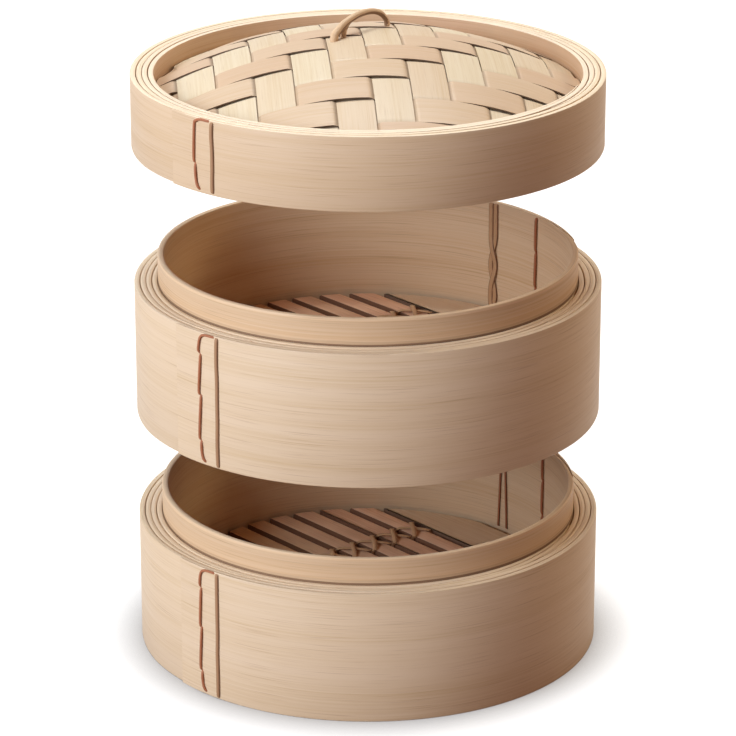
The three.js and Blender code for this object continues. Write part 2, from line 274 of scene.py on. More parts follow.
def through(points: Sequence[Vector], spans: int) -> list[Vector]:
    """Runs a smooth route through points.

    Args:
        points: what it passes through.
        spans: steps between two points.

    Returns:
        Points on the route, the given ones among them.
    """
    ends = [points[0] * 2 - points[1], *points, points[-1] * 2 - points[-2]]
    route = []
    for i in range(1, len(ends) - 2):
        before, here, after, later = ends[i - 1:i + 3]
        for step in range(spans):
            t = step / spans
            route.append(0.5 * (2 * here + (after - before) * t
                                + (2 * before - 5 * here + 4 * after - later) * t ** 2
                                + (3 * here - before - 3 * after + later) * t ** 3))
    return [*route, points[-1].copy()]


class Draft:
    """A mesh in the making that knows where each vertex lies along and across its fibres."""

    def __init__(self) -> None:
        """Starts an empty mesh with its fibre layers."""
        self.bm: BMesh = bmesh.new()
        self.along = self.bm.verts.layers.float.new("along")
        self.across = self.bm.verts.layers.float.new("across")
        self.tone = self.bm.faces.layers.float.new("tone")
        # Painted shade: how far each face turns to its fibre's dark colour.
        self.stain = self.bm.faces.layers.float.new("stain")
        self.grain = self.bm.loops.layers.uv.new("grain")
        self.period = 0.0  # metres of a full turn where the piece closes on itself

    def section(self, inside: float, outside: float, bottom: float, top: float, edge: float) -> BMFace:
        """Draws a strip's section with eased corners on the XZ plane, in mm.

        Args:
            inside: least radius.
            outside: greatest radius.
            bottom: lowest height.
            top: greatest height.
            edge: radius of the corners.

        Returns:
            The section's face.
        """
        corners = ((inside, bottom), (outside, bottom), (outside, top), (inside, top))
        verts = [self.bm.verts.new((x * MM, 0, z * MM)) for x, z in corners]
        self.bm.faces.new(verts)
        bmesh.ops.bevel(self.bm, geom=verts, offset=edge * MM, segments=EDGE_SEGMENTS, profile=0.5,
                        affect="VERTICES", material=-1)
        self.bm.faces.ensure_lookup_table()
        return self.bm.faces[0]

    def hoop(self, inside: float, outside: float, bottom: float, top: float) -> None:
        """Turns a closed hoop from a section, in mm.

        Args:
            inside: inner radius.
            outside: outer radius.
            bottom: lower edge.
            top: upper edge.
        """
        self.period = FULL_TURN * outside * MM
        face = self.section(inside, outside, bottom, top, HOOP_EDGE)
        bmesh.ops.delete(self.bm, geom=[face], context="FACES_ONLY")
        bmesh.ops.spin(self.bm, geom=[*self.bm.verts, *self.bm.edges], cent=(0, 0, 0), axis=(0, 0, 1),
                       angle=FULL_TURN, steps=ROUND_STEPS, use_merge=True)
        for vert in self.bm.verts:
            radius = math.hypot(vert.co.x, vert.co.y)
            vert[self.along] = math.atan2(vert.co.y, vert.co.x) % FULL_TURN * outside * MM
            vert[self.across] = vert.co.z + radius

    def sweep(self, stations: Sequence[Station], sides: int = STRAND_SIDES) -> None:
        """Carries a capped section along its stations by extrusion.

        Args:
            stations: the strand's sections in order.
            sides: corners of the section.
        """
        places = [station.place for station in stations]
        frames = []
        for i, station in enumerate(stations):
            along = (places[min(i + 1, len(places) - 1)] - places[max(i - 1, 0)]).normalized()
            side = station.facing.cross(along).normalized()
            turned = Matrix((side, along.cross(side), along)).transposed()
            size = Vector((station.wide, station.thick, 1 / MM)) * MM / 2
            frames.append(Matrix.LocRotScale(station.place, turned, size))
        ring = bmesh.ops.create_circle(self.bm, cap_ends=True, radius=1, segments=sides,
                                       matrix=frames[0])["verts"]
        for i, vert in enumerate(ring):
            vert[self.across] = i / sides * math.pi * stations[0].wide * MM
        cap = ring[0].link_faces[0]
        run = 0.0
        for i, (before, after) in enumerate(pairwise(frames)):
            grown = bmesh.ops.extrude_face_region(self.bm, geom=[cap])["geom"]
            cap = next(item for item in grown if isinstance(item, BMFace))
            run += (places[i + 1] - places[i]).length
            bmesh.ops.transform(self.bm, matrix=after @ before.inverted(), verts=list(cap.verts))
            for vert in cap.verts:
                vert[self.along] = run

    def lay_grain(self, shift: float) -> None:
        """Writes the grain map from the fibre layers.

        Args:
            shift: metres that move this strip's pattern along the wood.
        """
        for face in self.bm.faces:
            spots = [loop.vert[self.along] for loop in face.loops]
            wraps = self.period and max(spots) - min(spots) > self.period / 2
            for loop, spot in zip(face.loops, spots):
                turned = spot + self.period if wraps and spot < self.period / 2 else spot
                loop[self.grain].uv = (turned + shift, loop.vert[self.across] + shift / ALONG_PER_ACROSS)

    def turn_outward(self) -> None:
        """Makes every face look out of its piece."""
        bmesh.ops.recalc_face_normals(self.bm, faces=list(self.bm.faces))
        if self.bm.calc_volume(signed=True) < 0:
            bmesh.ops.reverse_faces(self.bm, faces=list(self.bm.faces))

    def age(self, tone: float, highlight_tone: float, stain: float, below: float) -> None:
        """Tones the faces by where they look, painting light and shade: upward faces take their own tone,
        lower-looking faces painted shade.

        Args:
            tone: how far upright faces lean to the darkest colour.
            highlight_tone: the same for faces that look up; a lighter tone there is a painted highlight.
            stain: share of painted shade on the lower-looking faces.
            below: rise of a normal under which a face gets painted shade.
        """
        self.turn_outward()
        for face in self.bm.faces:
            face[self.tone] = highlight_tone if face.normal.z > UPWARD else tone
            face[self.stain] = stain if face.normal.z < below else 0.0

    def shade_ring(self, low: float, high: float, stain: float) -> None:
        """Cuts a ring round a hoop and paints shade on its outer face.

        Args:
            low: lower edge of the ring in mm.
            stain: share of painted shade in the ring.
            stain: how far it is stained.
        """
        for height in (low, high):
            bmesh.ops.bisect_plane(self.bm, geom=[*self.bm.verts, *self.bm.edges, *self.bm.faces],
                                   plane_co=(0, 0, height * MM), plane_no=(0, 0, 1))
        for face in self.bm.faces:
            middle = face.calc_center_median()
            if low * MM < middle.z < high * MM and face.normal.dot(Vector((middle.x, middle.y, 0))) > 0:
                face[self.stain] = stain

    def shade_sides(self, stain: float) -> None:
        """Paints shade on the narrow sides of a strand that lies on a round wall.

        Args:
            stain: share of painted shade on them. how far they are stained.
        """
        for face in self.bm.faces:
            middle = face.calc_center_median()
            aside = Vector((-middle.y, middle.x, 0)).normalized()
            if abs(face.normal.dot(aside)) > ASIDE:
                face[self.stain] = stain

    def move(self, matrix: Matrix) -> None:
        """Moves the whole mesh."""
        bmesh.ops.transform(self.bm, matrix=matrix, verts=list(self.bm.verts))

    def finish(self, name: str, body: str, fibre: Fibre, replaced: Sequence[str]) -> None:
        """Makes the piece's object, dresses it and hands it to its body.

        Args:
            name: the piece's name.
            body: the CAD body it rides on.
            fibre: its finish.
            replaced: the CAD nodes it stands for.
        """
        self.turn_outward()
        for layer in ("along", "across"):
            self.bm.verts.layers.float.remove(self.bm.verts.layers.float[layer])
        mesh = bpy.data.meshes.new(name)
        self.bm.to_mesh(mesh)
        self.bm.free()
        mesh.shade_smooth()
        mesh.set_sharp_from_angle(angle=math.radians(CREASE))
        mesh.materials.append(fibre.material())
        piece = bpy.data.objects.new(name, mesh)
        bpy.context.scene.collection.objects.link(piece)
        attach(piece, body)
        if replaced:
            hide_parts(*replaced)
        log.info("%s on %s: %d faces", name, body, len(mesh.polygons))


# Waves of a strip's upper edge: share of its waver, and waves per radian of winding.
EDGE_WAVES = ((0.3, 0.7), (0.2, 2.3))


@dataclass(frozen=True)
class WoundBand:
    """A bamboo strip wound into a round band, its ends pared thin where they lap. Millimetres and degrees."""

    outside: float
    bottom: float
    top: float
    lap_angle: float  # where the outer end's paring starts, seen from above
    strip: float = 2.3
    gap: float = 0.3  # air between turns
    turns: int = 2
    lap: float = 52.5  # degrees over which a turn steps in
    tip: float = 0.35  # thickness at which an end stops
    edge: float = 0.4  # radius of the strip's long edges
    waver: float = 0.35  # how far the upper edge wanders below its line
    steps: int = ROUND_STEPS

    def span(self, step: int) -> tuple[float, float]:
        """Measures the strip at a step of its winding.

        Args:
            step: the step, from the outer end on.

        Returns:
            Its inner and outer radius.
        """
        pitch = self.strip + self.gap
        inside = self.outside - pitch * (self.turns - 1) - self.strip
        lapping = self.lap / 360 * self.steps
        turn = math.floor(step / self.steps)
        into = (step - turn * self.steps - self.steps + lapping) / lapping
        face = self.outside - pitch * (turn + max(0.0, into))
        return max(inside, face - self.strip), min(self.outside, face)

    def draw(self, seed: int) -> Draft:
        """Winds the strip.

        Args:
            seed: picks the wander of its edge.

        Returns:
            The band, standing on its own base.
        """
        spans = {step: self.span(step) for step in range(-self.steps, self.turns * self.steps + 1)}
        kept = [step for step, (inner, outer) in spans.items() if outer - inner >= self.tip]
        draft = Draft()
        face = draft.section(0, self.strip, self.bottom, self.top, self.edge)
        for vert in draft.bm.verts:
            vert[draft.along] = vert.co.x / (self.strip * MM)
            vert[draft.across] = vert.co.z
        # The spin climbs a metre a step, so that each vertex shows which step it belongs to.
        climb = 1.0
        bmesh.ops.spin(draft.bm, geom=[face, *face.edges, *face.verts], cent=(0, 0, 0), axis=(0, 0, 1),
                       dvec=(0, 0, climb), angle=FULL_TURN, steps=kept[-1] - kept[0])
        middle = (self.bottom + self.top) / 2 * MM
        phase = random.Random(seed).uniform(0, FULL_TURN)
        for vert in draft.bm.verts:
            share, rise = vert[draft.along], vert[draft.across]
            step = kept[0] + round((vert.co.z - rise) / climb)
            inner, outer = spans[step]
            wound = FULL_TURN * step / self.steps
            wander = 0.5
            for i, (part, rate) in enumerate(EDGE_WAVES, 1):
                wander -= part * math.sin(wound * rate + i * phase)
            drop = self.waver * wander * MM if rise > middle else 0.0
            spot = polar(inner + share * (outer - inner), self.lap_angle + math.degrees(wound), 0)
            vert.co = (spot.x, spot.y, rise - drop)
            vert[draft.along] = wound * (inner + outer) / 2 * MM
            vert[draft.across] = rise + share * self.strip * MM
        return draft


class Side(Enum):
    """The two sides of a floor's middle line, as the sign of its battens' offset."""

    BACK = -1
    FRONT = 1


@dataclass
class FloorRack:
    """A basket's floor: split slats and end planks on two battens, tied with flat rattan. Millimetres."""

    prefix: str
    body: str
    base: float
    seed: int
    radius: float = 85.8
    steps: int = 180  # facets of the round floor
    slats: int = 10
    pitch: float = 12.0
    slat_width: float = 9.0
    pared: float = 0.35  # how much narrower a slat may be on each side
    fade: float = 0.85  # tone of the first slat; the last has none
    mottle: float = 0.15  # how far a slat's tone strays from that
    plank_inner: float = 61.6
    plank_outer: float = 83.8
    bottom: float = 17.5
    top: float = 20.5
    flank: float = 0.8  # rise of a normal under which their faces get painted shade
    batten_offset: float = 31.0  # from the floor's middle line to a batten's
    batten_width: float = 8.0
    batten_bottom: float = 14.2
    batten_top: float = 17.2
    batten_half: float = 74.7
    tie_width: float = 2.0
    tie_thickness: float = 0.8
    tie_step: float = 1.3  # how far the second strand lies outside the first
    tie_sway: float = 0.5  # how far a crossing strays from its slat's middle
    angle: float = -49.0  # degrees the floor is turned
    dice: random.Random = field(init=False)

    def __post_init__(self) -> None:
        """Seeds the draws."""
        self.dice = random.Random(self.seed)

    def slat_line(self, i: int) -> float:
        """Where a slat's middle line lies across the floor."""
        return (i - (self.slats - 1) / 2) * self.pitch

    def strip(self, low: float, high: float, easing: float) -> Draft:
        """Cuts a strip out of the round floor.

        Args:
            low: its lower edge across the floor.
            high: its upper edge across the floor.
            easing: radius of its upper edges.

        Returns:
            The strip in the rack's own frame.
        """
        draft = Draft()
        bm = draft.bm
        bmesh.ops.create_circle(bm, cap_ends=True, radius=self.radius * MM, segments=self.steps)
        for edge, outward in ((low, -1), (high, 1)):
            bmesh.ops.bisect_plane(bm, geom=[*bm.verts, *bm.edges, *bm.faces], plane_co=(0, edge * MM, 0),
                                   plane_no=(0, outward, 0), clear_outer=True)
        bmesh.ops.translate(bm, vec=(0, 0, self.bottom * MM), verts=list(bm.verts))
        grown = bmesh.ops.extrude_face_region(bm, geom=list(bm.faces))["geom"]
        raised = [item for item in grown if isinstance(item, BMVert)]
        bmesh.ops.translate(bm, vec=(0, 0, (self.top - self.bottom) * MM), verts=raised)
        crown = [edge for edge in bm.edges if all(vert in raised for vert in edge.verts)]
        bmesh.ops.bevel(bm, geom=crown, offset=easing * MM, segments=EDGE_SEGMENTS + 1, profile=0.5,
                        affect="EDGES", material=-1)
        for vert in bm.verts:
            vert[draft.along] = vert.co.x
            vert[draft.across] = vert.co.y + vert.co.z
        return draft

    def build(self) -> None:
        """Builds and dresses the whole floor."""
        for i in range(self.slats):
            middle = self.slat_line(i)
            half = self.slat_width / 2
            spare = self.dice.uniform(0.0, self.pared)
            draft = self.strip(middle - half + spare, middle + half - spare, easing=0.6)
            faded = self.fade - self.fade * i / (self.slats - 1)
            # Painted shade darkens the slat's sides and underside.
            self.lay(draft, f"slat_{i + 1}", SLAT_BAMBOO, f"slat_{i + 1}",
                     faded + self.dice.uniform(-self.mottle, self.mottle), below=self.flank)
        for name, low, high in (("front", -self.plank_outer, -self.plank_inner),
                                ("back", self.plank_inner, self.plank_outer)):
            self.lay(self.strip(low, high, easing=0.7), f"plank_{name}", PLANK_BAMBOO, f"end_plank_{name}",
                     tone=0.1, below=self.flank)
        for side in Side:
            self.batten(side)
            self.tie(side)

    def lay(self, draft: Draft, name: str, fibre: Fibre, node: str, tone: float, stain: float = 0.85,
            below: float = 0.3) -> None:
        """Tones a piece of the floor, puts it in place and finishes it.

        Args:
            draft: the piece in the rack's frame.
            name: its name on the floor.
            fibre: its finish.
            node: the CAD node it stands for.
            tone: how far it leans to its darkest colour.
            stain: share of painted shade on its sides and underside.
            below: rise of a normal under which a face gets painted shade.
        """
        draft.age(tone, tone, stain, below)
        draft.lay_grain(self.dice.uniform(0.0, WOOD))
        turned = Matrix.Rotation(math.radians(self.angle), 4, "Z")
        draft.move(Matrix.Translation((0, 0, self.base * MM)) @ turned)
        draft.finish(f"{self.prefix}_floor_{name}", self.body, fibre, [f"{self.prefix}_{node}"])

    def batten(self, side: Side) -> None:
        """Builds the batten under one side of the slats.

        Args:
            side: the side.
        """
        draft = Draft()
        size = (self.batten_width, 2 * self.batten_half, self.batten_top - self.batten_bottom)
        middle = (side.value * self.batten_offset, 0, (self.batten_top + self.batten_bottom) / 2)
        bmesh.ops.create_cube(draft.bm, size=1, matrix=Matrix.LocRotScale(
            Vector(middle) * MM, None, Vector(size) * MM))
        bmesh.ops.bevel(draft.bm, geom=list(draft.bm.edges), offset=0.6 * MM, segments=EDGE_SEGMENTS,
                        profile=0.5, affect="EDGES", material=-1)
        for vert in draft.bm.verts:
            vert[draft.along] = vert.co.y
            vert[draft.across] = vert.co.x + vert.co.z
        name = f"batten_{side.name.lower()}"
        self.lay(draft, name, SLAT_BAMBOO, name, tone=0.3)

    def tie(self, side: Side) -> None:
        """Ties one batten: two flat strands cross over each slat and return under it.

        Args:
            side: the batten's side.
        """
        draft = Draft()
        for mirrored in (1, -1):
            draft.sweep(self.tie_route(side, mirrored))
        name = f"tie_{side.name.lower()}"
        # Painted shade darkens the ties' downward faces.
        self.lay(draft, name, RATTAN_CORE, name, tone=0.15, stain=0.5)

    def tie_route(self, side: Side, mirrored: int) -> list[Station]:
        """The way of one tying strand.

        Args:
            side: the batten it ties.
            mirrored: 1 for the lower strand, -1 for the one that crosses over it.

        Returns:
            Its sections in the rack's frame.
        """
        outer, hump = (self.tie_step, 1.5) if mirrored < 0 else (0.0, 0.5)
        reach = self.batten_width / 2 + 1.1 + outer
        over, under = self.top + 0.5, self.batten_bottom - 1.0 - outer
        half, lip = self.pitch / 2, self.slat_width / 2 - 0.4
        # From under the batten up to a slat's edge: aside, along, height, and how far it faces out and up.
        climb = ((reach - 1.2, half, under, 0, -1), (reach, half, under + 1.2, 1, 0),
                 (reach, half, over - 1.6, 1, 0), (reach - 0.5, lip, over + 0.1, 0, 1))
        points: list[Vector] = []
        looks: list[Vector] = []
        for i in range(self.slats):
            slat = self.slat_line(i)
            sway = self.dice.uniform(-self.tie_sway, self.tie_sway)
            stops = [(-x, slat - y, z, -out, up) for x, y, z, out, up in climb]
            stops.append((sway, slat + sway * 0.3, over + hump, 0, 1))
            stops += [(x, slat + y, z, out, up) for x, y, z, out, up in reversed(climb)]
            for x, y, z, out, up in stops:
                points.append(Vector((side.value * self.batten_offset + mirrored * x, y, z)) * MM)
                looks.append(Vector((mirrored * out, 0, up)))
        spans = 3
        places = through(points, spans)
        near = [looks[min(round(i / spans), len(looks) - 1)] for i in range(len(places))]
        return [Station(place, look, self.tie_width, self.tie_thickness) for place, look in zip(places, near)]


# Painted shade round a hoop's outside, a dark line at the shoulder fading upwards: from and to, in mm over
# the shoulder, and how dark.
SHOULDER_SHADE = ((-0.4, 0.7, 0.8), (0.7, 1.9, 0.28), (1.9, 10.6, 0.13))

# The wall's thread: mm proud of the wall, degrees past its line and mm under the top, where it starts;
# mm proud, share of its sway and mm over the hole, where it dives; and where it ends, in mm over the base.
THREAD_HEAD = ((-0.7, 5.0, 0.9), (0.1, 3.8, 0.55), (0.25, 1.9, 0.6), (0.45, 0.7, 1.4), (0.5, 0.1, 3.4))
THREAD_DIVE = ((0.5, -1, 2.2), (-0.45, 0, 0.4), (0.5, 1, -1.8))
THREAD_FOOT = ((0.5, 0.5, 4.6), (0.45, 1.1, 2.2), (-0.8, 1.7, 0.9))


@dataclass
class Tier:
    """One tier's wound wall and the rattan that sews its lap. Millimetres, and degrees from +X."""

    prefix: str
    body: str
    height: float
    lashing_angle: float
    seed: int
    outer_radius: float = 100.0  # outside of the outer strip
    inner_radius: float = 95.0  # outside of the inner strip
    outer_lap: float = 255.0  # where a strip's paring starts
    inner_lap: float = 359.0
    inner_fibre: Fibre = WALL_BAMBOO
    inner_tone: float = 0.33  # how far a strip's faces lean to its darkest colour
    outer_tone: float = 0.33
    hoop_outside: float = 89.9
    hoop_inside: float = 87.3
    recess: float = 14.0  # how far the hoop's lower edge lies over the base
    lashing_spacing: float = 9.5  # from the wall's thread to its splint
    dives: tuple[float, ...] = (0.17, 0.48, 0.82)  # how far down the thread dives through the wall
    base: float = field(init=False)

    def __post_init__(self) -> None:
        """Reads where the CAD stands the tier."""
        self.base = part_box(f"{self.prefix}_outer_wrap")[0].z / MM

    def walls(self) -> None:
        """Winds the two bands of the wall."""
        for name, outside, lap, fibre, tone in (
                ("outer", self.outer_radius, self.outer_lap, WALL_BAMBOO, self.outer_tone),
                ("inner", self.inner_radius, self.inner_lap, self.inner_fibre, self.inner_tone)):
            band = WoundBand(outside, 0.0, self.height, lap)
            self.place(band.draw(self.seed + len(name)), f"{name}_strip", fibre, f"{name}_wrap",
                       shift=self.seed * 1.7, tone=tone)

    def place(self, draft: Draft, name: str, fibre: Fibre, node: str | None, shift: float = 0.0,
              tone: float | None = 0.0, stain: float = 0.0, below: float = -0.35, sides: float = 0.0,
              seam: float | None = None) -> None:
        """Grains a piece, raises it to the tier and finishes it.

        Args:
            draft: the piece on its own base.
            name: its name in the tier.
            fibre: its finish.
            node: the CAD node it stands for, if any.
            shift: metres that move its grain.
            tone: how far its upright faces lean to its darkest colour; None where that is done.
            stain: share of painted shade on its underside.
            below: rise of a normal under which a face gets painted shade.
            sides: share of painted shade on a strand's narrow sides.
            seam: height of the shoulder, over which painted shade runs round a hoop as a dark line and a
                fading band.
        """
        # Upward faces get tone 0, the pale colour, as a painted highlight; faces looking down get painted
        # shade.
        if tone is not None:
            draft.age(tone, 0.0, stain, below)
        if sides:
            draft.shade_sides(sides)
        if seam is not None:
            for low, high, darkness in SHOULDER_SHADE:
                draft.shade_ring(seam + low, seam + high, darkness)
        draft.lay_grain(shift)
        draft.move(Matrix.Translation((0, 0, self.base * MM)))
        draft.finish(f"{self.prefix}_{name}", self.body, fibre, [f"{self.prefix}_{node}"] if node else [])

    def strand(self, route: Sequence[tuple[float, float, float]], wide: float, thick: float, spans: int = 5,
               inward: bool = False) -> list[Station]:
        """A strand laid on a round wall.

        Args:
            route: radius, degrees and height of the points it runs through.
            wide: its width.
            thick: its thickness.
            spans: steps between two points.
            inward: True where it lies on an inner face.

        Returns:
            Its sections, thinned at both ends.
        """
        places = through([polar(*spot) for spot in route], spans)
        stations = []
        for i, place in enumerate(places):
            facing = Vector((place.x, place.y, 0)).normalized() * (-1 if inward else 1)
            ends = min(i, len(places) - 1 - i)
            taper = END_WIDTH + (1 - END_WIDTH) * smoothstep(ends / TAPER_STEPS)
            stations.append(Station(place, facing, wide * taper, thick * taper))
        return stations

    def lashings(self) -> None:
        """Sews the lap: a running thread on the left, a flat splint on the right."""
        half = math.degrees(self.lashing_spacing / 2 / self.outer_radius)
        left, right = self.lashing_angle - half, self.lashing_angle + half
        wall, top = self.outer_radius, self.height
        dice = random.Random(self.seed)
        thread = [(wall + proud, left + turn, top - under) for proud, turn, under in THREAD_HEAD]
        for share in self.dives:
            hole = top * (1 - share)
            sway = dice.uniform(0.05, 0.3)
            thread += [(wall + proud, left + way * sway, hole + over) for proud, way, over in THREAD_DIVE]
        thread += [(wall + proud, left + turn, over) for proud, turn, over in THREAD_FOOT]
        draft = Draft()
        draft.sweep(self.strand(thread, wide=1.15, thick=1.0))
        self.place(draft, "wall_thread", RATTAN_PEEL, "wall_lashing")
        bends = 6
        splint = [(wall - 0.8, right, top - 0.7), (wall + 0.3, right, top - 1.8)]
        splint += [(wall + 0.4, right + dice.uniform(-0.14, 0.14), top - 1.8 - (top - 4) * i / bends)
                   for i in range(1, bends)]
        splint += [(wall + 0.3, right, 1.9), (wall - 0.8, right, 0.8)]
        draft = Draft()
        draft.sweep(self.strand(splint, wide=1.8, thick=0.9))
        # Painted shade on the splint's narrow sides.
        self.place(draft, "wall_splint", RATTAN_BARK, None, sides=0.4)


# The hoop's stitch: mm out from the hoop's inner face, and mm over its upper end, a hole or its lower end;
# at a hole, also degrees past its line.
STITCH_HEAD = ((0.5, 0.5), (-0.4, -1.5))
STITCH_DIVE = ((-0.45, 0.1, 2.4), (0.3, 0.2, 0.0), (-0.45, -0.1, -2.4))
STITCH_FOOT = ((-0.4, 2), (0.5, 0))


@dataclass
class Basket(Tier):
    """A steaming basket: wall, inner hoop, ledge and floor. Millimetres."""

    doubled: bool = False  # two flat splints that twist, or else two thin bent strands
    hoop_angle: float = 45.0  # middle of the hoop's lashing
    stitch_angle: float = 26.0
    lap_lead: float = 4.0  # degrees from the stitch to the hoop's pared end
    rim: float = 12.0  # how far the hoop rises over the shoulder
    ledge_inside: float = 84.0
    ledge_outside: float = 87.0
    ledge_top: float = 17.2
    floor_top: float = 20.5
    stitch_dives: tuple[float, ...] = (0.33, 0.68)  # how far down it dives through the hoop

    def build(self) -> None:
        """Builds and dresses the whole basket."""
        self.walls()
        lap_angle = self.stitch_angle + self.lap_lead
        hoop = WoundBand(self.hoop_outside, self.recess, self.height + self.rim, lap_angle, strip=2.6,
                         gap=0.05, turns=1, lap=32.0, tip=0.2, edge=0.7, waver=0.3)
        # A dark line and a fading band of painted shade run round the hoop just over the shoulder.
        self.place(hoop.draw(self.seed + 3), "rim_hoop", HOOP_BAMBOO, "inner_hoop", shift=self.seed * 2.3,
                   tone=0.3, seam=self.height)
        ledge = Draft()
        ledge.hoop(self.ledge_inside, self.ledge_outside, self.recess, self.ledge_top)
        # Painted shade darkens the ledge's downward faces.
        self.place(ledge, "ledge_hoop", HOOP_BAMBOO, "floor_ledge", tone=0.3, stain=0.5)
        FloorRack(self.prefix, self.body, self.base, self.seed).build()
        self.lashings()
        self.hoop_lashings()

    def hoop_lashings(self) -> None:
        """Sews the hoop's lap: a pair of splints or bent strands, and a single stitched line."""
        low, high = self.floor_top + 0.8, self.height + self.rim - 1.5
        wide, fibre, tone = (2.6, RATTAN_CORE, 0.5) if self.doubled else (1.3, RATTAN_PEEL, 0.1)
        draft = Draft()
        for side in (-1, 1):
            draft.sweep(self.strand(self.hoop_strand(side, low, high), wide, thick=0.8, spans=4, inward=True))
        # Painted shade on the strands' narrow sides.
        self.place(draft, "rim_lashing", fibre, "hoop_lashing", tone=tone, sides=0.75)
        face, angle = self.hoop_inside, self.stitch_angle
        line = [(face + out, angle, high + over) for out, over in STITCH_HEAD]
        for share in self.stitch_dives:
            hole = high - (high - low) * share
            line += [(face + out, angle + turn, hole + over) for out, turn, over in STITCH_DIVE]
        line += [(face + out, angle, low + over) for out, over in STITCH_FOOT]
        draft = Draft()
        draft.sweep(self.strand(line, wide=1.5, thick=0.9, inward=True))
        self.place(draft, "rim_stitch", RATTAN_PEEL, "hoop_stitch")

    def hoop_strand(self, side: int, low: float, high: float) -> list[tuple[float, float, float]]:
        """The way of one half of the hoop's lashing.

        Args:
            side: -1 or 1, the half.
            low: its lower end.
            high: its upper end.

        Returns:
            Radius, degrees and height of its points.
        """
        steps, face, proud, tuck = 24, self.hoop_inside, 0.4, 0.6
        start, stop, half_turn = 0.1, 0.7, 0.3
        swing, hump = 0.85, 0.55
        foot, head = 1.7, 0.45
        route = []
        for i in range(steps + 1):
            share = i / steps
            over = 0.0
            if self.doubled:
                # The splints cross twice and lie side by side where the twist stops.
                twist = math.cos(math.pi * (min(share, stop) - start) / half_turn)
                aside = swing * twist
                if side > 0:
                    over = hump * (1 - twist ** 2)
            else:
                aside = foot * (1 - share) + head * share
            route.append((face - proud - over, self.hoop_angle + side * aside, low + (high - low) * share))
        return [(face + tuck, route[0][1], low - tuck), *route, (face + tuck, route[-1][1], high + tuck)]


# Tones that a splint of the lid may have, and how much darker those that run across it are.
SPLINT_TONES = (0.0, 0.08, 0.16, 0.3)
CROSSING_TONE = 0.45


